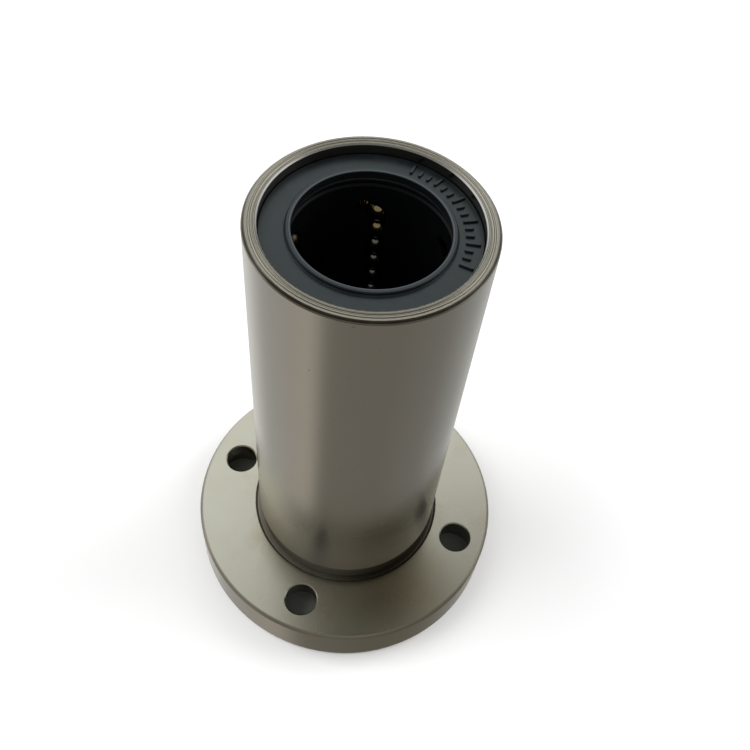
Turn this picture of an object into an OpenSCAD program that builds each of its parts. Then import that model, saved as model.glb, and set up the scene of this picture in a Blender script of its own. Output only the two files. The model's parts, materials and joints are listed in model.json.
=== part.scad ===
// Long flanged linear ball bushing for a 20 mm shaft.
// The axis is Z. The flange's end face lies on Z = 0 and the plain end points up.
// The bolt holes lie on the X and Y axes.

/* [Sleeve] */
// Diameter of the shaft that the bushing runs on
shaft_d = 20; // [19.8:0.05:20.1]
// Outside diameter of the ground sleeve
sleeve_d = 32; // [31.6:0.1:34]
// Overall length along the shaft
overall_l = 80; // [80:0.5:90]
// Bore of the sleeve at its ends, which the seals fill
end_bore_d = 28.2; // [28.1:0.05:28.4]
// Depth of a seal's face below the end of the sleeve
recess = 1.6; // [1.4:0.1:1.8]
// Chamfer on the outer edge of the plain end
rim_chamfer = 0.4; // [0.2:0.05:0.6]

/* [Flange] */
// Outside diameter of the flange
flange_d = 54; // [52:0.5:60]
// Thickness of the flange
flange_t = 8; // [6.5:0.5:12]
// Diameter of the circle through the bolt holes
bolt_circle_d = 43; // [42.5:0.1:44]
// Number of bolt holes
bolt_count = 4; // [3:1:6]
// Diameter of a bolt hole
bolt_hole_d = 5.5; // [4.5:0.1:6]
// Diameter of the counterbore for a screw head
counterbore_d = 9; // [8:0.1:10]
// Depth of the counterbore, from the end face
counterbore_depth = 5.1; // [4:0.1:5.5]

/* [Ball circuits] */
// Diameter of a ball
ball_d = 3.175; // [3.15:0.005:3.2]
// Number of circuits round each retainer
circuit_count = 5; // [3:1:5]
// Number of balls in each straight row
balls_in_row = 8; // [5:1:8]
// Distance from ball to ball along a row
ball_pitch = 3.22; // [3.21:0.005:3.23]
// How far the first ball has gone round the turn, as a part of the pitch
ball_phase = 0.14; // [0:0.02:0.98]
// Radius from the axis to the middle of the return row
return_r = 12.5; // [12.48:0.01:12.55]
// Direction of the first load row, seen from the plain end
first_row_angle = 31.5; // [20:0.5:60]

/* [Retainer] */
// Inner diameter of the retainer
retainer_bore_d = 20.8; // [20.6:0.05:20.9]
// Outer diameter of the retainer
retainer_d = 28.1; // [28:0.05:28.1]
// Room round a ball in its channel
channel_play = 0.08; // [0.05:0.01:0.1]
// Resin left beyond the turn at a retainer's outer end
end_wall = 1.9; // [1.5:0.05:1.95]
// Number of moulded pockets along a retainer, between two circuits
pocket_rows = 3; // [2:1:4]
// Depth of a moulded pocket below the retainer's outside
pocket_depth = 1.8; // [1:0.1:2]

/* [Seals and rings] */
// Depth of a seal along the shaft, without its raised lip
seal_t = 2; // [1.9:0.05:2.1]
// Height of the lip round the shaft above the seal's face
lip_h = 0.6; // [0.4:0.05:0.8]
// Wall of the raised lip
lip_w = 0.7; // [0.6:0.05:0.9]
// Thickness of a retaining ring
ring_t = 1; // [0.9:0.05:1.05]
// Opening between the ends of a retaining ring, in degrees
ring_gap = 24; // [10:1:60]

/* [Hidden] */
$fn = 96;
ball_fn = 72;
over = 0.5;                     // how far a cutting shape runs past what it cuts
mid_z = overall_l / 2;
shaft_r = shaft_d / 2;
sleeve_r = sleeve_d / 2;
end_bore_r = end_bore_d / 2;

// A circuit lies in the plane that touches the circle of the load rows.
ball_r = ball_d / 2;
load_r = shaft_r + ball_r;
row_gap = sqrt(return_r ^ 2 - load_r ^ 2);
turn_r = row_gap / 2;
turn_step = 90;                 // a ball goes this far round the turn in one pitch
row_l = balls_in_row * ball_pitch;
channel_r = ball_r + channel_play;
circuit_step = 360 / circuit_count;

// The raceway lands are flats that the balls of one circuit roll on.
land_play = 0.015;
land_r = load_r + ball_r + land_play;
relief_r = end_bore_r + 0.1;    // bore of the sleeve between its lands
retainer_land_gap = 0.14;       // between a land and the retainer's flat

// Heights at the plain end; the flange end mirrors them.
seal_face_z = overall_l - recess;
seal_back_z = seal_face_z - seal_t;
ring_z = seal_back_z;
end_play = 0.05;
retainer_top_z = seal_back_z - end_play;
retainer_bottom_z = mid_z + end_play;
turn_z = retainer_top_z - end_wall - channel_r - turn_r;
land_end_z = retainer_top_z - 0.25;
lead_in_l = 0.9;                // cone that leads the balls on to a land's end

// Retainer edges, and the pockets between its circuits
retainer_r = retainer_d / 2;
retainer_chamfer = 0.3;
pocket_margin = 10.5;           // degrees left beside a row of balls
pocket_rib = 1.6;               // between two pockets, and beyond the last ones

// Retaining ring and the groove that it springs into
groove_r = 14.9;
ring_r = 14.85;
ring_inner_r = 13.1;
groove_play = 0.05;
plier_hole_r = 0.45;            // hole near each end of a ring
plier_hole_angle = 4;

// Seal
seal_r = end_bore_r - 0.02;
lip_relief_r = shaft_r + 0.6;   // bore of the seal behind the contact lip
lip_contact_l = 1.05;
core_r = 12.9;
core_inner_r = 11.1;
core_t = 0.55;

// Sleeve edges
flange_chamfer = 0.5;
mouth_chamfer = 0.2;
hole_chamfer = 0.2;
undercut_depth = 0.3;
undercut_h = 3.3;
undercut_run = 1.5;             // height over which it runs out to the full diameter
undercut_w = 0.9;
undercut_floor = 0.2;
rim_groove_radii = [14.72, 15.2];
rim_groove_w = 0.22;
rim_groove_depth = 0.09;

ENDS = ["upper", "lower"];
CIRCUIT_PIECES = ["load_row", "return_row", "outer_turn", "inner_turn"];
function ball_node(piece, end, number) = str(piece, "_", end, "_", number);
ball_nodes = [
    for (end = ENDS, number = [1:circuit_count], piece = CIRCUIT_PIECES) ball_node(piece, end, number)
];

// Children are modelled at the plain end. At the flange end they are turned over about the
// middle of the length, on the line that keeps each load row at its own direction.
module at_end(end) {
    if (end == "upper")
        children();
    else
        rotate([0, 0, 2 * first_row_angle])
            translate([0, 0, overall_l])
                rotate([180, 0, 0])
                    children();
}

// Children are modelled with the load row on +X of the circuit's own frame.
module at_circuit(number)
    rotate([0, 0, first_row_angle + (number - 1) * circuit_step])
        children();

// ---------- sleeve ----------

// Section of the sleeve's bore between the ends: a relief circle with one flat land a circuit
module raceway_section(radius, flat_r)
    intersection() {
        circle(r = radius);
        intersection_for(number = [1:circuit_count])
            at_circuit(number)
                translate([flat_r - 4 * radius, -2 * radius])
                    square([4 * radius, 4 * radius]);
    }

// A shallow tool mark turned into the rim of the plain end
function rim_groove(radius) = [
    [radius + rim_groove_w / 2, overall_l],
    [radius, overall_l - rim_groove_depth],
    [radius - rim_groove_w / 2, overall_l]
];

// Half section of the turned blank, from the axis outwards
module blank_section() {
    flange_r = flange_d / 2;
    polygon(concat(
        [
            [0, 0],
            [flange_r - flange_chamfer, 0],
            [flange_r, flange_chamfer],
            [flange_r, flange_t - flange_chamfer],
            [flange_r - flange_chamfer, flange_t],
            // grinding undercut in the corner between flange and sleeve
            [sleeve_r + undercut_w, flange_t],
            [sleeve_r + undercut_w / 2, flange_t - undercut_floor],
            [sleeve_r - undercut_depth, flange_t - undercut_floor],
            [sleeve_r - undercut_depth, flange_t + undercut_h - undercut_run],
            [sleeve_r, flange_t + undercut_h],
            [sleeve_r, overall_l - rim_chamfer],
            [sleeve_r - rim_chamfer, overall_l]
        ],
        rim_groove(rim_groove_radii[1]),
        rim_groove(rim_groove_radii[0]),
        [[0, overall_l]]
    ));
}

// What one end of the sleeve is bored out to: lead-in to the lands, end bore, ring groove, mouth
module end_bore()
    rotate_extrude()
        polygon([
            [0, land_end_z - lead_in_l],
            [land_r, land_end_z - lead_in_l],
            [end_bore_r, land_end_z],
            [end_bore_r, ring_z - groove_play],
            [groove_r, ring_z - groove_play],
            [groove_r, ring_z + ring_t + groove_play],
            [end_bore_r, ring_z + ring_t + groove_play],
            [end_bore_r, overall_l - mouth_chamfer],
            [end_bore_r + mouth_chamfer + over, overall_l + over],
            [0, overall_l + over]
        ]);

// One counterbored bolt hole, with its edges broken
module bolt_hole() {
    hole_r = bolt_hole_d / 2;
    translate([0, 0, -over])
        cylinder(h = flange_t + 2 * over, r = hole_r);
    translate([0, 0, -over])
        cylinder(h = counterbore_depth + over, r = counterbore_d / 2);
    translate([0, 0, flange_t - hole_chamfer])
        cylinder(h = hole_chamfer + over, r1 = hole_r, r2 = hole_r + hole_chamfer + over);
}

module sleeve()
    color("Silver")
        difference() {
            rotate_extrude()
                blank_section();
            translate([0, 0, overall_l - land_end_z - 0.1])
                linear_extrude(2 * land_end_z - overall_l + 0.2)
                    raceway_section(relief_r, land_r);
            for (end = ENDS)
                at_end(end)
                    end_bore();
            for (k = [0:bolt_count - 1])
                rotate([0, 0, k * 360 / bolt_count])
                    translate([bolt_circle_d / 2, 0, 0])
                        bolt_hole();
        }

// ---------- retainers ----------

// Section of a ball channel, open to the outside, about the ball's middle
module channel_section() {
    circle(r = channel_r);
    translate([0, -channel_r])
        square([4 * ball_r, 2 * channel_r]);
}

// One straight of the channel
module straight_channel(side)
    translate([load_r, side, turn_z - row_l])
        linear_extrude(row_l)
            channel_section();

// One half-circle of the channel, turned about the line from the axis through its middle
module turn_channel(z, start)
    translate([load_r, turn_r, z])
        rotate([0, 90, 0])
            rotate([0, 0, start])
                rotate_extrude(angle = 180)
                    translate([turn_r, 0])
                        rotate([0, 0, 90])
                            channel_section();

// The closed loop that the balls of one circuit run round
module channel_loop() {
    straight_channel(0);
    straight_channel(row_gap);
    turn_channel(turn_z, 90);
    turn_channel(turn_z - row_l, -90);
}

// Half section of a retainer before its flats, channels and pockets are cut
module retainer_section() {
    bore_r = retainer_bore_d / 2;
    polygon([
        [bore_r, retainer_bottom_z + retainer_chamfer],
        [bore_r + retainer_chamfer, retainer_bottom_z],
        [retainer_r - retainer_chamfer, retainer_bottom_z],
        [retainer_r, retainer_bottom_z + retainer_chamfer],
        [retainer_r, retainer_top_z - retainer_chamfer],
        [retainer_r - retainer_chamfer, retainer_top_z],
        [bore_r + retainer_chamfer, retainer_top_z],
        [bore_r, retainer_top_z - retainer_chamfer]
    ]);
}

module retainer_blank()
    intersection() {
        rotate_extrude()
            retainer_section();
        translate([0, 0, retainer_bottom_z - over])
            linear_extrude(retainer_top_z - retainer_bottom_z + 2 * over)
                raceway_section(retainer_r + over, land_r - retainer_land_gap);
    }

// The row of pockets between one circuit's return row and the next circuit's load row
module pockets() {
    start = atan(row_gap / load_r) + pocket_margin;
    span = circuit_step - pocket_margin - start;
    pitch = (retainer_top_z - retainer_bottom_z - pocket_rib) / pocket_rows;
    for (k = [0:pocket_rows - 1])
        rotate([0, 0, start])
            rotate_extrude(angle = span)
                translate([retainer_r - pocket_depth, retainer_bottom_z + pocket_rib + k * pitch])
                    square([pocket_depth + over, pitch - pocket_rib]);
}

module retainer(end)
    color("DimGray")
        at_end(end)
            difference() {
                retainer_blank();
                for (number = [1:circuit_count])
                    at_circuit(number) {
                        channel_loop();
                        pockets();
                    }
            }

// ---------- balls ----------

module ball()
    sphere(d = ball_d, $fn = ball_fn);

// Distance of ball number k below the start of the turn, along its row
function along(k) = (k + 1 - ball_phase) * ball_pitch;

// The row that carries the shaft
module load_row()
    for (k = [0:balls_in_row - 1])
        translate([load_r, 0, turn_z - along(k)])
            ball();

// The row that brings the balls back: it runs the other way
module return_row()
    for (k = [0:balls_in_row - 1])
        translate([load_r, row_gap, turn_z - row_l + along(k)])
            ball();

// The two balls in a turn, the first one ball_phase of a step past its start
module turn_balls(z, start)
    for (k = [0:1])
        translate([load_r, turn_r, z])
            rotate([start + (k + ball_phase) * turn_step, 0, 0])
                translate([0, turn_r, 0])
                    ball();

module circuit_piece(piece) {
    if (piece == "load_row")
        load_row();
    if (piece == "return_row")
        return_row();
    if (piece == "outer_turn")
        mirror([0, 1, 0])
            translate([0, -row_gap, 0])
                turn_balls(turn_z, 0);
    if (piece == "inner_turn")
        mirror([0, 0, 1])
            translate([0, 0, -2 * turn_z + row_l])
                turn_balls(turn_z, 0);
}

module balls(piece, end, number)
    color("Gainsboro")
        at_end(end)
            at_circuit(number)
                circuit_piece(piece);

// ---------- retaining rings ----------

module ring_body()
    rotate([0, 0, ring_gap / 2])
        rotate_extrude(angle = 360 - ring_gap)
            translate([ring_inner_r, ring_z])
                square([ring_r - ring_inner_r, ring_t]);

module retaining_ring(end)
    color("SlateGray")
        at_end(end)
            rotate([0, 0, first_row_angle])
                difference() {
                    ring_body();
                    for (side = [-1, 1])
                        rotate([0, 0, side * (ring_gap / 2 + plier_hole_angle)])
                            translate([(ring_inner_r + ring_r) / 2, 0, ring_z - over])
                                cylinder(h = ring_t + 2 * over, r = plier_hole_r);
                }

// ---------- seals ----------

// Half section of a seal: face, raised lip, contact bore, relief, pocket of the steel core,
// and the step over the retaining ring
module seal_section() {
    lip_top_z = seal_face_z + lip_h;
    lip_r = shaft_r + lip_w;
    step_z = ring_z + ring_t + groove_play;
    edge = 0.12;
    polygon([
        [shaft_r, lip_top_z - edge],
        [shaft_r + edge, lip_top_z],
        [lip_r - edge, lip_top_z],
        [lip_r, lip_top_z - edge],
        [lip_r, seal_face_z + 1.5 * edge],
        [lip_r + 1.5 * edge, seal_face_z],
        [seal_r - edge, seal_face_z],
        [seal_r, seal_face_z - edge],
        [seal_r, step_z],
        [ring_inner_r - groove_play, step_z],
        [ring_inner_r - groove_play, seal_back_z + core_t],
        [core_inner_r, seal_back_z + core_t],
        [core_inner_r, seal_back_z],
        [lip_relief_r, seal_back_z],
        [shaft_r, lip_top_z - lip_contact_l]
    ]);
}

module seal(end)
    color("DarkSlateGray")
        at_end(end)
            rotate_extrude()
                seal_section();

module seal_core(end)
    color("LightSteelBlue")
        at_end(end)
            rotate_extrude()
                translate([core_inner_r, seal_back_z])
                    square([core_r - core_inner_r, core_t]);

// ---------- the assembly ----------

sleeve();
for (end = ENDS) {
    retainer(end);
    retaining_ring(end);
    seal(end);
    seal_core(end);
    for (number = [1:circuit_count], piece = CIRCUIT_PIECES)
        balls(piece, end, number);
}
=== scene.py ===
"""Looks of a long flanged linear ball bushing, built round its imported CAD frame.

Each sub-assembly of the bushing is a class that reads its sizes from the frame, models the
pieces that the frame leaves to this script, and dresses its nodes in a finish. Lengths are in
metres unless a name ends in _mm.
"""

import json
import logging
import math
from dataclasses import dataclass, field
from enum import Enum
from typing import Any, Callable, Iterable, Optional, Union

import bmesh
import bpy
from mathutils import Matrix, Quaternion, Vector

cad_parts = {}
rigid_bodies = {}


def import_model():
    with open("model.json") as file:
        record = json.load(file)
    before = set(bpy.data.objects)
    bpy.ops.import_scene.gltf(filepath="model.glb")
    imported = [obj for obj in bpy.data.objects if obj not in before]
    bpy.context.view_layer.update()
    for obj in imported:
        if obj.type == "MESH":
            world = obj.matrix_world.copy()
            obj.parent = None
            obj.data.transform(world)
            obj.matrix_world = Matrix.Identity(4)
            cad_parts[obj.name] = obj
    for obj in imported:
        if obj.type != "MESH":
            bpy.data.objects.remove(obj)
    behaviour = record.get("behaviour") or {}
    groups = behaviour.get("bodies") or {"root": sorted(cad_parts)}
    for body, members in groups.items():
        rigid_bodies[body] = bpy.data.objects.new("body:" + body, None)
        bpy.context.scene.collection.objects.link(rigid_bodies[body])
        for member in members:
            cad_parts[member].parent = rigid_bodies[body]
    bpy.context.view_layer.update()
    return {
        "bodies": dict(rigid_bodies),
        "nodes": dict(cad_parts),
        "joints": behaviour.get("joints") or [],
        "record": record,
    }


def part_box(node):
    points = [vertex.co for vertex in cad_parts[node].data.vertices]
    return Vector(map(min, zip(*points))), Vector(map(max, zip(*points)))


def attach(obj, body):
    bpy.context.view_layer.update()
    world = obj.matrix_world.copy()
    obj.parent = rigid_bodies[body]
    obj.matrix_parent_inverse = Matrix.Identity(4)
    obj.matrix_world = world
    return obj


LOG = logging.getLogger("bushing")
MM = 0.001
ROOT_BODY = "bushing"
SMOOTH_BELOW = math.radians(35.0)
Colour = tuple[float, float, float]
Number = Union[float, int, "Term"]
Finish = tuple["Term", "Term", "Term"]


class End(Enum):
    """The two ends of the bushing, named as the frame's nodes are."""

    UPPER = "upper"
    LOWER = "lower"


class BallGroup(Enum):
    """The parts of a ball circuit, named as the frame's nodes are."""

    LOAD_ROW = "load_row"
    RETURN_ROW = "return_row"
    OUTER_TURN = "outer_turn"
    INNER_TURN = "inner_turn"


# ---------- shader maths ----------


class Term:
    """A number or colour that a node gives out, with arithmetic on it."""

    def __init__(self, sheet: "ShaderSheet", socket: bpy.types.NodeSocket) -> None:
        """Wraps one output socket of a sheet."""
        self.sheet = sheet
        self.socket = socket

    def _with(self, operation: str, first: Number, second: Number) -> "Term":
        """Adds a Math node for one operation on two numbers."""
        return self.sheet.math(operation, first, second)

    def __add__(self, other: Number) -> "Term":
        """self + other"""
        return self._with("ADD", self, other)

    def __radd__(self, other: Number) -> "Term":
        """other + self"""
        return self._with("ADD", other, self)

    def __sub__(self, other: Number) -> "Term":
        """self - other"""
        return self._with("SUBTRACT", self, other)

    def __rsub__(self, other: Number) -> "Term":
        """other - self"""
        return self._with("SUBTRACT", other, self)

    def __mul__(self, other: Number) -> "Term":
        """self * other"""
        return self._with("MULTIPLY", self, other)

    def __rmul__(self, other: Number) -> "Term":
        """other * self"""
        return self._with("MULTIPLY", other, self)

    def __truediv__(self, other: Number) -> "Term":
        """self / other"""
        return self._with("DIVIDE", self, other)

    def __rtruediv__(self, other: Number) -> "Term":
        """other / self"""
        return self._with("DIVIDE", other, self)


class ShaderSheet:
    """The node tree of one material or of the world, filled through one method."""

    def __init__(self, tree: bpy.types.NodeTree) -> None:
        """Empties a tree and takes it over."""
        self.tree = tree
        tree.nodes.clear()

    def add(
        self, kind: str, settings: Optional[dict[str, Any]] = None, inputs: Optional[dict[Any, Any]] = None
    ) -> bpy.types.Node:
        """Adds a node of any type.

        Args:
            kind: The node's type, such as "ShaderNodeMath".
            settings: Properties of the node, set before its sockets. A ramp's stops come under
                "stops", as (position, colour) pairs.
            inputs: Values, Terms or sockets for its inputs, by name or number.

        Returns:
            The new node.
        """
        node = self.tree.nodes.new(kind)
        for name, value in (settings or {}).items():
            if name == "stops":
                self._set_stops(node.color_ramp, value)
            else:
                setattr(node, name, value)
        for name, value in (inputs or {}).items():
            self._feed(node.inputs[name], value)
        return node

    @staticmethod
    def _set_stops(ramp: bpy.types.ColorRamp, stops: Iterable[tuple[float, Colour]]) -> None:
        """Gives a colour ramp its stops.

        Args:
            ramp: A new ramp, which has two stops.
            stops: Pairs of position and colour, in order of position.
        """
        for k, (position, colour) in enumerate(stops):
            stop = ramp.elements[k] if k < 2 else ramp.elements.new(position)
            stop.position = position
            stop.color = (*colour, 1.0)

    def _feed(self, socket: bpy.types.NodeSocket, value: Any) -> None:
        """Links a Term or a socket to an input, or sets the input to a plain value.

        Args:
            socket: The input.
            value: What it is to have.
        """
        if isinstance(value, Term):
            self.tree.links.new(value.socket, socket)
        elif isinstance(value, bpy.types.NodeSocket):
            self.tree.links.new(value, socket)
        else:
            socket.default_value = value

    def term(self, node: bpy.types.Node, output: Union[int, str] = 0) -> Term:
        """One output of a node as a Term."""
        return Term(self, node.outputs[output])

    def math(self, operation: str, *values: Number) -> Term:
        """Adds a Math node.

        Args:
            operation: What the node does, such as "ADD".
            *values: Its numbers, one to three.

        Returns:
            The node's result.
        """
        node = self.add("ShaderNodeMath", {"operation": operation}, dict(enumerate(values)))
        return self.term(node)

    def place(self) -> Term:
        """Where the surface is, in the object's own coordinates, in millimetres."""
        where = self.add("ShaderNodeTexCoord").outputs["Object"]
        return self.stretch(where, (1 / MM, 1 / MM, 1 / MM))

    def stretch(self, vector: Any, factors: tuple[float, float, float]) -> Term:
        """A vector with each part multiplied by its own factor."""
        node = self.add("ShaderNodeVectorMath", {"operation": "MULTIPLY"}, {0: vector, 1: factors})
        return self.term(node)

    def parts(self, vector: Term) -> tuple[Term, Term, Term]:
        """The X, Y and Z of a vector."""
        node = self.add("ShaderNodeSeparateXYZ", inputs={0: vector})
        return self.term(node, 0), self.term(node, 1), self.term(node, 2)

    def join(self, x: Number, y: Number, z: Number) -> Term:
        """A vector made of three numbers."""
        return self.term(self.add("ShaderNodeCombineXYZ", inputs={0: x, 1: y, 2: z}))

    def radius(self, vector: Term) -> Term:
        """The distance of a place from the Z axis."""
        x, y, _ = self.parts(vector)
        return self.math("SQRT", x * x + y * y)

    def noise(self, vector: Term, scale: float, detail: float = 3.0, roughness: float = 0.5) -> Term:
        """Adds smooth noise.

        Args:
            vector: Where the noise is read.
            scale: Its cycles in a unit of the vector.
            detail: How many finer layers it has.
            roughness: How strong the finer layers are.

        Returns:
            The noise, from 0 to 1.
        """
        inputs = {"Vector": vector, "Scale": scale, "Detail": detail, "Roughness": roughness}
        return self.term(self.add("ShaderNodeTexNoise", {}, inputs))

    def step(self, value: Term, low: float, high: float) -> Term:
        """Adds a smooth step, which falls instead of rising if low > high.

        Args:
            value: The number that it follows.
            low: Where it is 0.
            high: Where it is 1.

        Returns:
            The step, from 0 to 1.
        """
        settings = {"interpolation_type": "SMOOTHSTEP", "clamp": True}
        if low < high:
            ends = {1: low, 2: high, 3: 0.0, 4: 1.0}
        else:
            ends = {1: high, 2: low, 3: 1.0, 4: 0.0}
        return self.term(self.add("ShaderNodeMapRange", settings, {0: value, **ends}))

    def band(self, value: Term, low: float, high: float, soft: float) -> Term:
        """1 between low and high, and 0 outside, with edges of width soft."""
        return self.step(value, low - soft, low) * self.step(value, high + soft, high)

    def blend(self, factor: Number, first: Any, second: Any) -> Term:
        """Mixes two colours.

        Args:
            factor: The share of the second colour, from 0 to 1.
            first: A Term or a plain colour.
            second: A Term or a plain colour.

        Returns:
            The mixed colour.
        """
        settings = {"data_type": "RGBA", "clamp_factor": True}
        node = self.add("ShaderNodeMix", settings, {0: factor, 6: _rgba(first), 7: _rgba(second)})
        return self.term(node, 2)

    def bump(self, height: Term, distance_mm: float) -> Term:
        """A normal from a height of 0 to 1, which stands for distance_mm at its highest."""
        inputs = {"Height": height, "Distance": distance_mm * MM, "Strength": 1.0}
        return self.term(self.add("ShaderNodeBump", {}, inputs))

    def surface(self, **inputs: Any) -> None:
        """Ends the sheet in a Principled surface.

        Args:
            **inputs: Its sockets' values or Terms, with an underscore for each space in a name.
        """
        named = {name.replace("_", " "): _rgba(value) for name, value in inputs.items()}
        shader = self.add("ShaderNodeBsdfPrincipled", {}, named)
        self.add("ShaderNodeOutputMaterial", {}, {"Surface": shader.outputs[0]})


def _rgba(value: Any) -> Any:
    """Adds the alpha that a colour socket wants.

    Args:
        value: A plain colour, or anything else that a socket takes.

    Returns:
        The colour with its alpha, and anything else as it is.
    """
    if isinstance(value, tuple) and len(value) == 3:
        return (*value, 1.0)
    return value


def new_material(name: str) -> tuple[bpy.types.Material, ShaderSheet]:
    """Makes an empty material.

    Args:
        name: The material's name.

    Returns:
        The material and the sheet of its nodes.
    """
    material = bpy.data.materials.new(name)
    material.use_nodes = True
    return material, ShaderSheet(material.node_tree)


# ---------- finishes ----------


@dataclass(frozen=True)
class SleeveSteel:
    """Bearing steel: ground outside, turned at the rim, satin on the flange.

    The heights and radii say where one finish gives way to the next, in millimetres. The foot
    of the tube is dull, and on its left darker with painted shade in the tone of oil, up to
    heights over the flange that are given as pairs: all of it below the first, none of it above
    the second. A share says how strongly painted shade covers the steel under it, from 0 to 1.
    The "right" of the bushing is +X.
    """

    sleeve_r: float
    flange_r: float
    flange_t: float
    height: float
    end_bore_r: float
    undercut_top: float
    ground: Colour = (0.60, 0.57, 0.51)
    ground_dull: Colour = (0.56, 0.54, 0.50)
    ground_line: Colour = (0.48, 0.455, 0.41)
    satin: Colour = (0.62, 0.615, 0.535)
    satin_warm: Colour = (0.58, 0.52, 0.43)
    satin_line: Colour = (0.50, 0.49, 0.42)
    satin_edge: Colour = (0.56, 0.49, 0.42)
    side: Colour = (0.45, 0.42, 0.36)
    turned: Colour = (0.48, 0.46, 0.40)
    mouth_highlight: Colour = (0.60, 0.60, 0.58)
    # Real specks and the dirt in the tool rings, and also the painted shade in the tube's corner, the bore,
    # the bolt holes and on the rim's outer chamfer.
    grime_and_shade: Colour = (0.050, 0.038, 0.028)
    # Painted shade in the tone of oil: the left of the tube's foot, a patch at the flange's front right and
    # the right of the flange's side.
    oil_and_shade: Colour = (0.30, 0.26, 0.165)
    rim_depth: float = 0.40
    rim_chamfer: float = 0.36
    tool_marks: float = 0.012
    dull_foot: tuple[float, float] = (4.0, 18.0)
    shaded_foot: tuple[float, float] = (9.0, 28.0)
    corner_shade_share: float = 0.54
    corner_right_shade_share: float = 0.41
    bore_shade_share: float = 0.62
    hole_shade_share: float = 0.45
    foot_shade_share: float = 0.72
    flange_side_shade_share: float = 0.95
    shade_patch_r: float = 19.0
    shade_patch_way: float = -40.0
    shade_patch_reach: float = 13.0
    shade_patch_middle: float = 3.0

    def material(self) -> bpy.types.Material:
        """Builds the sleeve's material.

        Returns:
            The material, with a finish for each of the sleeve's zones.
        """
        material, sheet = new_material("sleeve_steel")
        place = sheet.place()
        r, z = sheet.radius(place), sheet.parts(place)[2]
        rim = sheet.step(z, self.height - self.rim_depth - 0.10, self.height - self.rim_depth)
        flange = sheet.step(z, self.flange_t + 0.2, self.flange_t + 0.05)

        tube_tint, tube_rough, tube_high = self._ground(sheet, place, z)
        disc_tint, disc_rough, disc_high = self._satin(sheet, place, r, z)
        rim_tint, rim_rough, rim_high = self._turned(sheet, place, r, z)
        tint = sheet.blend(flange, tube_tint, disc_tint)
        tint = sheet.blend(rim, tint, rim_tint)
        # Painted shade: the corner at the foot of the tube, heavier on its right, the wall of the bore and
        # the walls of the bolt holes are darkened.
        corner = sheet.band(z, self.flange_t - 0.5, self.undercut_top, 0.3)
        corner = corner * sheet.step(r, self.sleeve_r + 0.75, self.sleeve_r + 0.2)
        bore = sheet.step(r, self.end_bore_r + 0.05, self.end_bore_r + 0.02)
        holes = sheet.band(z, 0.3, self.flange_t - 0.25, 0.05)
        holes = holes * sheet.step(r, self.flange_r - 0.1, self.flange_r - 0.3)
        right = sheet.step(sheet.parts(place)[0], 2.0, 13.0)
        tint = sheet.blend(corner * (self.corner_shade_share + right * self.corner_right_shade_share), tint, self.grime_and_shade)
        tint = sheet.blend(bore * self.bore_shade_share, tint, self.grime_and_shade)
        tint = sheet.blend(holes * self.hole_shade_share, tint, self.grime_and_shade)
        rough = tube_rough * (1 - flange) + disc_rough * flange
        rough = rough * (1 - rim) + rim_rough * rim
        height = tube_high * (1 - flange) + disc_high * flange
        height = height * (1 - rim) + rim_high * rim
        sheet.surface(
            Base_Color=tint,
            Metallic=1.0,
            Roughness=rough + corner * 0.25,
            Normal=sheet.bump(height, self.tool_marks),
        )
        return material

    def _ground(self, sheet: ShaderSheet, place: Term, z: Term) -> Finish:
        """Makes the centreless-ground outside, rougher towards the flange, with painted shade on the left
        of its foot.

        Args:
            sheet: The material's nodes.
            place: Where the surface is.
            z: Its height.

        Returns:
            Colour, roughness and height of the finish.
        """
        fine = sheet.noise(sheet.stretch(place, (0.25, 0.25, 16.0)), 1.0, 2.0)
        broad = sheet.noise(sheet.stretch(place, (0.06, 0.06, 1.6)), 1.0, 3.0)
        cloud = sheet.noise(place, 0.11, 4.0, 0.6)
        specks = sheet.noise(place, 1.5, 2.0, 0.55)
        pits = sheet.step(specks, 0.745, 0.79)
        tint = sheet.blend(cloud, self.ground, self.ground_dull)
        tint = sheet.blend(fine * 0.35, tint, self.ground_line)
        tint = sheet.blend(pits * 0.6, tint, self.grime_and_shade)
        low = sheet.step(z, self.flange_t + self.dull_foot[1], self.flange_t + self.dull_foot[0])
        # Painted shade in the tone of oil on the left of the tube's foot.
        film_and_shade = sheet.step(z, self.flange_t + self.shaded_foot[1], self.flange_t + self.shaded_foot[0])
        film_and_shade = film_and_shade * sheet.step(sheet.parts(place)[0], 0.0, -12.0)
        tint = sheet.blend(film_and_shade * self.foot_shade_share, tint, self.oil_and_shade)
        rough = 0.16 + fine * 0.06 + broad * 0.05 + pits * 0.3 + cloud * 0.05 + low * 0.28
        return tint, rough, fine * 0.10 + broad * 0.06 + (1 - pits) * 0.15

    def _satin(self, sheet: ShaderSheet, place: Term, r: Term, z: Term) -> Finish:
        """Makes the flange, turned and then tumbled to a satin, with warm stains, and with painted shade at
        its front right and on the right of its side.

        Args:
            sheet: The material's nodes.
            place: Where the surface is.
            r: Its distance from the axis.
            z: Its height.

        Returns:
            Colour, roughness and height of the finish.
        """
        rings = sheet.noise(sheet.join(r * 5.5, z * 5.5, 0.0), 1.0, 2.0)
        grain = sheet.noise(place, 9.0, 3.0, 0.6)
        stain = sheet.noise(place, 0.13, 5.0, 0.62)
        edge = sheet.step(r, self.flange_r - 0.7, self.flange_r - 0.35)
        side = sheet.step(r, self.flange_r - 0.2, self.flange_r - 0.05)
        # Painted shade on the right of the flange's side.
        shaded_side = side * sheet.step(sheet.parts(place)[0], 4.0, 20.0)
        tint = sheet.blend(sheet.step(stain, 0.45, 0.75) * 0.8, self.satin, self.satin_warm)
        tint = sheet.blend(rings * 0.30 + grain * 0.15, tint, self.satin_line)
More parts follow.
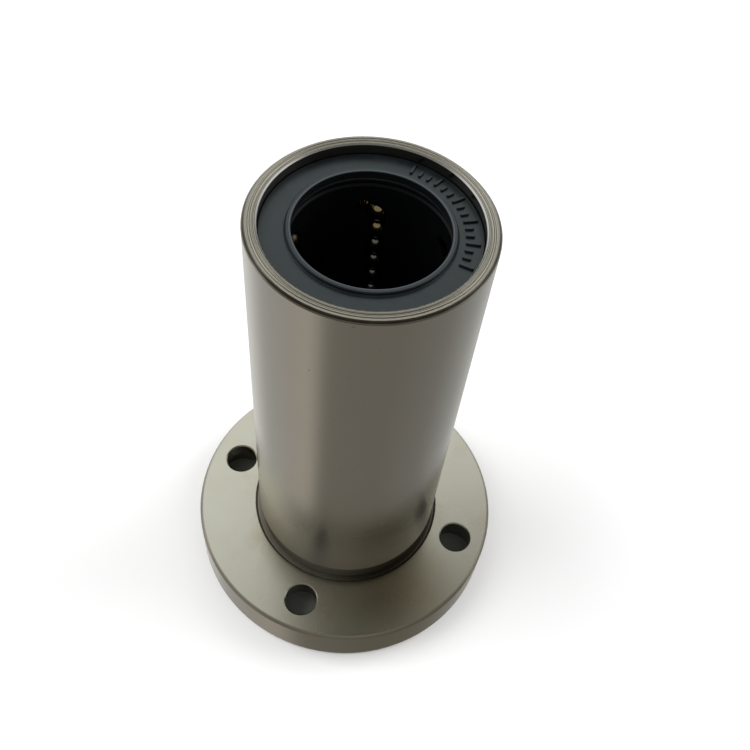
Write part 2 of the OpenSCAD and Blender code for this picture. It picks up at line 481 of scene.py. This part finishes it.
        # Painted shade at the flange's front right, uneven with the stain noise.
        tint = sheet.blend(self._shade_patch(sheet, place) * (0.45 + stain * 0.5), tint, self.oil_and_shade)
        tint = sheet.blend(edge * 0.45, tint, self.satin_edge)
        tint = sheet.blend(side, tint, self.side)
        tint = sheet.blend(shaded_side * self.flange_side_shade_share, tint, self.oil_and_shade)
        rough = 0.17 + grain * 0.08 + stain * 0.10 - edge * 0.03
        return tint, rough, rings * 0.25 + grain * 0.3

    def _shade_patch(self, sheet: ShaderSheet, place: Term) -> Term:
        """Says where painted shade darkens the flange's front right.

        Args:
            sheet: The material's nodes.
            place: Where the surface is.

        Returns:
            1 in the middle of the shaded patch and 0 outside it.
        """
        turn = math.radians(self.shade_patch_way)
        x, y, _ = sheet.parts(place)
        across = x - self.shade_patch_r * math.cos(turn)
        along = y - self.shade_patch_r * math.sin(turn)
        away = sheet.math("SQRT", across * across + along * along)
        return sheet.step(away, self.shade_patch_reach, self.shade_patch_middle)

    def _turned(self, sheet: ShaderSheet, place: Term, r: Term, z: Term) -> Finish:
        """Makes the rim, with the rings that its tool left and the dirt in them, a painted highlight at its
        mouth and painted shade on its outer chamfer.

        Args:
            sheet: The material's nodes.
            place: Where the surface is.
            r: Its distance from the axis.
            z: Its height.

        Returns:
            Colour, roughness and height of the finish.
        """
        rings = sheet.noise(sheet.join(r * 7.0, z * 7.0, 0.0), 1.0, 3.0, 0.65)
        wear = sheet.noise(place, 0.35, 4.0, 0.6)
        dark = sheet.step(rings, 0.42, 0.58)
        tint = sheet.blend(dark * (0.68 + wear * 0.45), self.turned, self.grime_and_shade)
        # Painted highlight: a lighter band at the mouth's edge. Painted shade, uneven with the wear noise,
        # on the outer chamfer.
        mouth = sheet.step(r, self.end_bore_r + 0.24, self.end_bore_r + 0.20)
        chamfer_r = self.sleeve_r - self.rim_chamfer
        chamfer = sheet.step(r, chamfer_r - 0.06, chamfer_r)
        tint = sheet.blend(mouth, tint, self.mouth_highlight)
        tint = sheet.blend(chamfer * (0.15 + wear * 0.5), tint, self.grime_and_shade)
        return tint, 0.22 + rings * 0.14, rings


@dataclass(frozen=True)
class SealRubber:
    """Moulded rubber, blue-black, a little dusty, with a painted highlight at its lip's edge and painted
    shade inside it.

    The shaft's radius bore_r and the width of the painted highlight are in millimetres.
    """

    bore_r: float
    lip_highlight_w: float = 0.22
    name: str = "seal_rubber"
    sheen: Colour = (0.84, 0.95, 1.0)
    rubber: Colour = (0.0045, 0.0065, 0.008)
    dusty: Colour = (0.009, 0.012, 0.014)
    throat_shade: Colour = (0.001, 0.0015, 0.002)
    lip_highlight_tint: Colour = (0.045, 0.050, 0.058)

    def material(self) -> bpy.types.Material:
        """Builds the rubber's material.

        Returns:
            The material of the rubber.
        """
        material, sheet = new_material(self.name)
        place = sheet.place()
        grain = sheet.noise(place, 14.0, 3.0, 0.6)
        cloud = sheet.noise(place, 0.5, 4.0, 0.6)
        r = sheet.radius(place)
        # Painted highlight: a lighter band on the lip's edge. Painted shade: the darker throat, the lip's
        # inner wall.
        throat = sheet.step(r, self.bore_r + 0.06, self.bore_r + 0.03)
        edge = sheet.band(r, self.bore_r, self.bore_r + self.lip_highlight_w, 0.04)
        tint = sheet.blend(sheet.step(cloud, 0.35, 0.8), self.rubber, self.dusty)
        tint = sheet.blend(edge, tint, self.lip_highlight_tint)
        tint = sheet.blend(throat, tint, self.throat_shade)
        sheet.surface(
            Base_Color=tint,
            Roughness=0.25 + grain * 0.08 + cloud * 0.08 + throat * 0.35,
            Specular_IOR_Level=0.60,
            Specular_Tint=self.sheen,
            Normal=sheet.bump(grain, 0.006),
        )
        return material


@dataclass(frozen=True)
class RetainerResin:
    """Black moulded resin, a little glossy, with faint flow marks."""

    name: str = "retainer_resin"
    resin: Colour = (0.0020, 0.0025, 0.0030)
    worn: Colour = (0.0045, 0.0048, 0.0055)

    def material(self) -> bpy.types.Material:
        """Builds the resin's material.

        Returns:
            The material of the resin.
        """
        material, sheet = new_material(self.name)
        place = sheet.place()
        flow = sheet.noise(sheet.stretch(place, (0.5, 0.5, 0.12)), 1.0, 4.0, 0.6)
        grain = sheet.noise(place, 10.0, 2.0)
        tint = sheet.blend(flow, self.resin, self.worn)
        sheet.surface(
            Base_Color=tint,
            Roughness=0.30 + flow * 0.14 + grain * 0.05,
            Specular_IOR_Level=0.18,
            Normal=sheet.bump(grain, 0.004),
        )
        return material


@dataclass(frozen=True)
class BallSteel:
    """Lapped ball steel, under amber oil near the seals and darkened on one side with painted shade.

    Oil lies on the balls that are further than oiled_from from the middle of the bushing. Painted
    shade darkens the balls on the side of low Y and fades out along Y between two given places. All are in
    millimetres.
    """

    middle: float
    oiled_from: float = 28.0
    shaded_to: float = 2.0
    lit_from: float = 6.0
    steel: Colour = (0.36, 0.35, 0.33)
    oiled: Colour = (0.62, 0.50, 0.30)
    ball_shade_tint: Colour = (0.05, 0.045, 0.035)
    ball_shade_share: float = 0.85

    def material(self) -> bpy.types.Material:
        """Builds the balls' material.

        Returns:
            The material of the ball steel.
        """
        material, sheet = new_material("ball_steel")
        place = sheet.place()
        film_and_shade = sheet.noise(place, 0.35, 3.0)
        far = sheet.math("ABSOLUTE", sheet.parts(place)[2] - self.middle)
        oil_and_shade = sheet.step(far + film_and_shade * 2.0, self.oiled_from, self.oiled_from + 1.5)
        tint = sheet.blend(oil_and_shade, self.steel, self.oiled)
        # Painted shade on the balls of low Y, which are also made rougher.
        shaded_balls = sheet.step(sheet.parts(place)[1], self.lit_from, self.shaded_to)
        tint = sheet.blend(shaded_balls * self.ball_shade_share, tint, self.ball_shade_tint)
        sheet.surface(Base_Color=tint, Metallic=1.0, Roughness=0.05 + film_and_shade * 0.07 + shaded_balls * 0.2)
        return material


@dataclass(frozen=True)
class StampedSteel:
    """Strip steel, stamped or coiled, with its rolling marks and a trace of oil."""

    name: str
    steel: Colour
    stained: Colour
    rough: float

    def material(self) -> bpy.types.Material:
        """Builds the strip's material.

        Returns:
            The material of the strip.
        """
        material, sheet = new_material(self.name)
        place = sheet.place()
        rolled = sheet.noise(sheet.stretch(place, (6.0, 0.6, 0.6)), 1.0, 3.0)
        stain = sheet.noise(place, 0.6, 4.0, 0.6)
        tint = sheet.blend(sheet.step(stain, 0.4, 0.7), self.steel, self.stained)
        sheet.surface(
            Base_Color=tint,
            Metallic=1.0,
            Roughness=self.rough + rolled * 0.12 + stain * 0.08,
            Normal=sheet.bump(rolled, 0.004),
        )
        return material


SPRING_STEEL = StampedSteel("spring_steel", (0.20, 0.20, 0.21), (0.13, 0.11, 0.09), 0.28)
CORE_STEEL = StampedSteel("core_steel", (0.46, 0.46, 0.45), (0.36, 0.33, 0.28), 0.26)


def dress(names: Iterable[str], material: bpy.types.Material, nodes: dict[str, bpy.types.Object]) -> None:
    """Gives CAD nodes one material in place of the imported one.

    Args:
        names: The names of the nodes.
        material: Their new material.
        nodes: The frame's nodes by name.
    """
    for name in names:
        mesh = nodes[name].data
        mesh.materials.clear()
        mesh.materials.append(material)
        LOG.info("dressed %s in %s", name, material.name)


# ---------- mesh work ----------


def clear_selection() -> None:
    """Deselects everything, so that an operator acts on the new piece only."""
    bpy.ops.object.select_all(action="DESELECT")


def apply_place(piece: bpy.types.Object) -> None:
    """Moves a piece's place into its mesh, so that its object sits at the origin.

    Args:
        piece: The piece, which is then the only one selected.
    """
    clear_selection()
    piece.select_set(True)
    bpy.context.view_layer.objects.active = piece
    bpy.ops.object.transform_apply(location=True, rotation=True, scale=True)


def pick_corners(piece: bpy.types.Object, wanted: Callable[[Vector], bool]) -> None:
    """Opens a piece in edit mode with only some of its corners selected.

    Args:
        piece: The active object.
        wanted: Says of a corner's place whether it is to be selected.
    """
    bpy.ops.object.mode_set(mode="EDIT")
    bpy.ops.mesh.select_mode(type="VERT")
    bpy.ops.mesh.select_all(action="DESELECT")
    mesh = bmesh.from_edit_mesh(piece.data)
    for corner in mesh.verts:
        corner.select = wanted(corner.co)
    mesh.select_flush_mode()
    bmesh.update_edit_mesh(piece.data)


def copy_piece(piece: bpy.types.Object) -> bpy.types.Object:
    """Copies a piece.

    Args:
        piece: The pattern.

    Returns:
        The copy, with a mesh of its own.
    """
    clear_selection()
    piece.select_set(True)
    bpy.context.view_layer.objects.active = piece
    bpy.ops.object.duplicate(linked=False)
    return bpy.context.object


def merge_pieces(pieces: list[bpy.types.Object], name: str) -> bpy.types.Object:
    """Joins pieces into one object.

    Args:
        pieces: Two pieces or more.
        name: The name of the whole.

    Returns:
        The joined piece, selected and active.
    """
    clear_selection()
    for piece in pieces:
        piece.select_set(True)
    bpy.context.view_layer.objects.active = pieces[0]
    bpy.ops.object.join()
    pieces[0].name = name
    return pieces[0]


# ---------- sub-assemblies ----------


@dataclass
class Bearing:
    """What every sub-assembly shares: the frame, and the main sizes that it gives."""

    frame: dict[str, Any]
    nodes: dict[str, bpy.types.Object] = field(init=False)
    sleeve_r: float = field(init=False)
    flange_r: float = field(init=False)
    flange_t: float = field(init=False)
    height: float = field(init=False)
    shaft_r: float = field(init=False)
    seal_r: float = field(init=False)
    ground_from: float = field(init=False)

    def __post_init__(self) -> None:
        """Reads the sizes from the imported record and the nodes' boxes."""
        mounts = {mount["name"]: mount for mount in self.frame["record"]["mounts"]}
        self.nodes = self.frame["nodes"]
        outside = mounts["sleeve_outside"]
        self.sleeve_r = outside["dims"]["r_mm"] * MM
        self.shaft_r = mounts["shaft_bore"]["dims"]["r_mm"] * MM
        self.ground_from = outside["pos_m"][2] - outside["dims"]["length_mm"] * MM / 2
        self.flange_t = mounts["flange_seat"]["pos_m"][2]
        top_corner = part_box("sleeve")[1]
        self.flange_r = top_corner.x
        self.height = top_corner.z
        self.seal_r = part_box("seal_upper")[1].x


@dataclass
class Sleeve:
    """The steel sleeve with its flange."""

    bearing: Bearing

    def dress(self) -> None:
        """Gives the sleeve its steel, with each face's own finish."""
        bearing = self.bearing
        finish = SleeveSteel(
            sleeve_r=bearing.sleeve_r / MM,
            flange_r=bearing.flange_r / MM,
            flange_t=bearing.flange_t / MM,
            height=bearing.height / MM,
            end_bore_r=bearing.seal_r / MM,
            undercut_top=bearing.ground_from / MM,
        )
        dress(["sleeve"], finish.material(), bearing.nodes)


@dataclass
class BallCage:
    """The retainers and the balls that run round them."""

    bearing: Bearing
    circuits: int = 5

    def ball_nodes(self) -> list[str]:
        """The names of all the ball nodes."""
        return [
            f"{group.value}_{end.value}_{number}"
            for end in End
            for number in range(1, self.circuits + 1)
            for group in BallGroup
        ]

    def dress(self) -> None:
        """Gives the retainers their resin and the balls their steel."""
        nodes = self.bearing.nodes
        dress([f"retainer_{end.value}" for end in End], RetainerResin().material(), nodes)
        dress(self.ball_nodes(), BallSteel(middle=self.bearing.height / MM / 2).material(), nodes)


@dataclass
class EndClosure:
    """The seals, their steel cores and the rings that hold the retainers in.

    The marks on a seal are strokes along its radius, which start at mark_r. One mark in
    marks_per_long is long. Their directions are in degrees.
    """

    bearing: Bearing
    lip_h: float = 0.6 * MM
    mark_r: float = 11.65 * MM
    mark_long: float = 1.95 * MM
    mark_short: float = 1.15 * MM
    mark_w: float = 0.44 * MM
    mark_h: float = 0.50 * MM
    mark_proud: float = 0.28 * MM
    mark_round: float = 0.08 * MM
    mark_first: float = -5.0
    mark_step: float = 6.0
    mark_count: int = 16
    marks_per_long: int = 3
    mark_sides: int = 24
    mark_round_steps: int = 3

    def face_z(self, end: End) -> float:
        """Finds the height of a seal's flat face.

        Args:
            end: The end that the seal closes.

        Returns:
            The height on the Z axis.
        """
        low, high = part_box(f"seal_{end.value}")
        return high.z - self.lip_h if end is End.UPPER else low.z + self.lip_h

    def _stroke(self, length: float) -> bpy.types.Object:
        """Models one raised stroke with round ends and a rounded top.

        Args:
            length: The stroke's length over its round ends.

        Returns:
            The stroke, along X from the origin, its middle at Z = 0.
        """
        half = self.mark_w / 2
        clear_selection()
        bpy.ops.mesh.primitive_cylinder_add(
            vertices=self.mark_sides, radius=half, depth=self.mark_h, location=(half, 0.0, 0.0)
        )
        stroke = bpy.context.object
        apply_place(stroke)
        pick_corners(stroke, lambda place: place.x > half * 1.01)
        bpy.ops.transform.translate(value=(length - self.mark_w, 0.0, 0.0))
        pick_corners(stroke, lambda place: place.z > 0.0)
        bpy.ops.mesh.bevel(offset=self.mark_round, segments=self.mark_round_steps, affect="EDGES")
        bpy.ops.object.mode_set(mode="OBJECT")
        return stroke

    def build_marks(self, end: End, material: bpy.types.Material) -> bpy.types.Object:
        """Models the moulded index marks on a seal's face.

        Args:
            end: The end whose seal carries them.
            material: The rubber of the seal.

        Returns:
            One piece with all the marks of that seal.
        """
        outwards = 1 if end is End.UPPER else -1
        z = self.face_z(end) + outwards * (self.mark_proud - self.mark_h / 2)
        place = Matrix.Translation((self.mark_r, 0.0, z))
        flip = Matrix.Rotation(math.pi if end is End.LOWER else 0.0, 4, "X")
        long_stroke, short_stroke = self._stroke(self.mark_long), self._stroke(self.mark_short)
        strokes = []
        for k in range(self.mark_count):
            stroke = copy_piece(short_stroke if k % self.marks_per_long else long_stroke)
            turn = Matrix.Rotation(math.radians(self.mark_first + k * self.mark_step), 4, "Z")
            stroke.matrix_world = turn @ place @ flip
            apply_place(stroke)
            strokes.append(stroke)
        for pattern in (long_stroke, short_stroke):
            bpy.data.objects.remove(pattern, do_unlink=True)
        marks = merge_pieces(strokes, f"seal_marks_{end.value}")
        marks.data.materials.clear()
        marks.data.materials.append(material)
        bpy.ops.object.shade_smooth_by_angle(angle=SMOOTH_BELOW)
        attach(marks, ROOT_BODY)
        LOG.info("built %s: %d strokes", marks.name, self.mark_count)
        return marks

    def dress(self) -> None:
        """Builds the marks and gives every closing piece its finish."""
        nodes = self.bearing.nodes
        rubber = SealRubber(bore_r=self.bearing.shaft_r / MM).material()
        dress([f"seal_{end.value}" for end in End], rubber, nodes)
        dress([f"retaining_ring_{end.value}" for end in End], SPRING_STEEL.material(), nodes)
        dress([f"seal_core_{end.value}" for end in End], CORE_STEEL.material(), nodes)
        for end in End:
            self.build_marks(end, rubber)


# ---------- studio ----------


@dataclass(frozen=True)
class Lamp:
    """A soft square light: where it hangs, the length of its side in metres, and its watts."""

    name: str
    place: tuple[float, float, float]
    size: float
    power: float

    def build(self) -> None:
        """Hangs the light so that it shines at the bushing and isn't mirrored in it."""
        lamp = bpy.data.lights.new(self.name, "AREA")
        lamp.size = self.size
        lamp.energy = self.power
        light = bpy.data.objects.new(self.name, lamp)
        light.location = self.place
        light.visible_glossy = False
        light.rotation_euler = Vector(self.place).to_track_quat("Z", "Y").to_euler()
        bpy.context.scene.collection.objects.link(light)


@dataclass
class Studio:
    """The pale floor, the soft surroundings, the lights and the camera.

    The camera's directions are in degrees. The surroundings are what polished steel mirrors:
    "below" runs once round the horizon from behind the bushing, as shares of a turn.
    """

    camera_azimuth: float = 16.57
    camera_reach: float = 77.86 * MM
    camera_height: float = 156.57 * MM
    camera_down: float = 54.34
    camera_turn: float = 1.885
    camera_roll: float = 7.05
    lens: float = 42.43
    sensor: float = 36.0
    clip_start: float = 5 * MM
    lamps: tuple[Lamp, ...] = (
        Lamp("key", (-0.50, -0.15, 0.75), 0.55, 4.0),
        Lamp("fill", (0.55, 0.40, 0.60), 0.50, 3.0),
    )
    floor_size: float = 1.4
    pad_r: float = 26.3 * MM
    pad_sides: int = 96
    floor_tint: Colour = (0.93, 0.93, 0.93)
    pad_shade_tint: Colour = (0.30, 0.31, 0.28)
    backdrop: Colour = (0.93, 0.93, 0.93)
    soft_light: Colour = (0.70, 0.70, 0.70)
    sky: Colour = (0.98, 0.99, 0.96)
    sky_facing: Colour = (0.17, 0.16, 0.14)
    sky_overhead: Colour = (0.13, 0.12, 0.095)
    below: tuple[tuple[float, Colour], ...] = (
        (0.00, (0.98, 0.98, 0.97)),
        (0.12, (0.78, 0.78, 0.76)),
        (0.20, (0.44, 0.45, 0.43)),
        (0.33, (0.45, 0.42, 0.385)),
        (0.36, (0.52, 0.49, 0.44)),
        (0.415, (0.215, 0.205, 0.18)),
        (0.60, (0.205, 0.195, 0.17)),
        (0.74, (0.24, 0.235, 0.22)),
        (0.84, (0.38, 0.39, 0.38)),
        (1.00, (0.90, 0.90, 0.89)),
    )

    def build(self) -> None:
        """Sets up everything round the bushing."""
        bpy.context.scene.view_settings.view_transform = "Standard"
        self._floor()
        self._pad()
        self._world()
        for lamp in self.lamps:
            lamp.build()
        self._camera()

    def _floor(self) -> None:
        """Adds the floor, which the polished steel doesn't mirror."""
        clear_selection()
        bpy.ops.mesh.primitive_plane_add(size=self.floor_size, location=(0.0, 0.0, -0.1 * MM))
        floor = bpy.context.object
        floor.name = "floor"
        material, sheet = new_material("floor_paper")
        sheet.surface(Base_Color=self.floor_tint, Roughness=0.9, Specular_IOR_Level=0.1)
        floor.data.materials.append(material)
        floor.visible_glossy = False
        floor.visible_shadow = False

    def _pad(self) -> None:
        """Adds a dark round disc under the flange: painted shade seen through the bore and the holes, which
        also keeps light from below out of them.
        """
        clear_selection()
        bpy.ops.mesh.primitive_cylinder_add(
            vertices=self.pad_sides, radius=self.pad_r, depth=0.08 * MM, location=(0.0, 0.0, -0.05 * MM)
        )
        pad = bpy.context.object
        pad.name = "pad"
        material, sheet = new_material("pad_painted_shade")
        sheet.surface(Base_Color=self.pad_shade_tint, Roughness=0.9, Specular_IOR_Level=0.1)
        pad.data.materials.append(material)

    def _world(self) -> None:
        """Surrounds the bushing with soft light: bright above, darker below the camera's side."""
        world = bpy.data.worlds.new("surroundings")
        world.use_nodes = True
        bpy.context.scene.world = world
        sheet = ShaderSheet(world.node_tree)
        way = sheet.term(sheet.add("ShaderNodeTexCoord"), "Generated")
        x, y, z = sheet.parts(way)
        front = math.radians(self.camera_azimuth - 90.0)
        ahead = x * math.cos(front) + y * math.sin(front)
        right = y * math.cos(front) - x * math.sin(front)
        side = sheet.math("ARCTAN2", right, ahead) * (180.0 / math.pi)
        below = sheet.add("ShaderNodeValToRGB", {"stops": self.below}, {0: (side + 180.0) / 360.0})
        above = sheet.step(z, -0.10, 0.45)
        facing = sheet.step(ahead, -0.05, 0.25)
        overhead = sheet.step(z + right * 0.25, 0.885, 0.945)
        bright = sheet.blend(facing * 0.95, self.sky, self.sky_facing)
        bright = sheet.blend(overhead, bright, self.sky_overhead)
        mirrored = sheet.blend(above, sheet.term(below, 0), bright)
        path = sheet.add("ShaderNodeLightPath")
        mirrored = sheet.blend(sheet.term(path, "Is Diffuse Ray"), mirrored, self.soft_light)
        colour = sheet.blend(sheet.term(path, "Is Camera Ray"), mirrored, self.backdrop)
        background = sheet.add("ShaderNodeBackground", {}, {"Color": colour, "Strength": 1.0})
        sheet.add("ShaderNodeOutputWorld", {}, {"Surface": background.outputs[0]})

    def _camera(self) -> None:
        """Places the camera above and in front of the plain end, looking down the sleeve."""
        round_z = Matrix.Rotation(math.radians(self.camera_azimuth), 3, "Z")
        place = round_z @ Vector((0.0, -self.camera_reach, self.camera_height))
        turn, down = math.radians(self.camera_turn), math.radians(self.camera_down)
        gaze = Vector((math.sin(turn) * math.cos(down), math.cos(turn) * math.cos(down), -math.sin(down)))
        aim = (round_z @ gaze).to_track_quat("-Z", "Y")
        camera = bpy.data.objects.new("camera", bpy.data.cameras.new("camera"))
        camera.data.lens = self.lens
        camera.data.sensor_width = self.sensor
        camera.data.clip_start = self.clip_start
        camera.location = place
        camera.rotation_mode = "QUATERNION"
        camera.rotation_quaternion = aim @ Quaternion((0.0, 0.0, 1.0), math.radians(self.camera_roll))
        bpy.context.scene.collection.objects.link(camera)
        bpy.context.scene.camera = camera


def main() -> None:
    """Builds the bushing's looks in order."""
    logging.basicConfig(level=logging.INFO, format="%(name)s: %(message)s")
    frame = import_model()
    bearing = Bearing(frame)
    Studio().build()
    Sleeve(bearing).dress()
    BallCage(bearing).dress()
    EndClosure(bearing).dress()


if __name__ == "__main__":
    main()
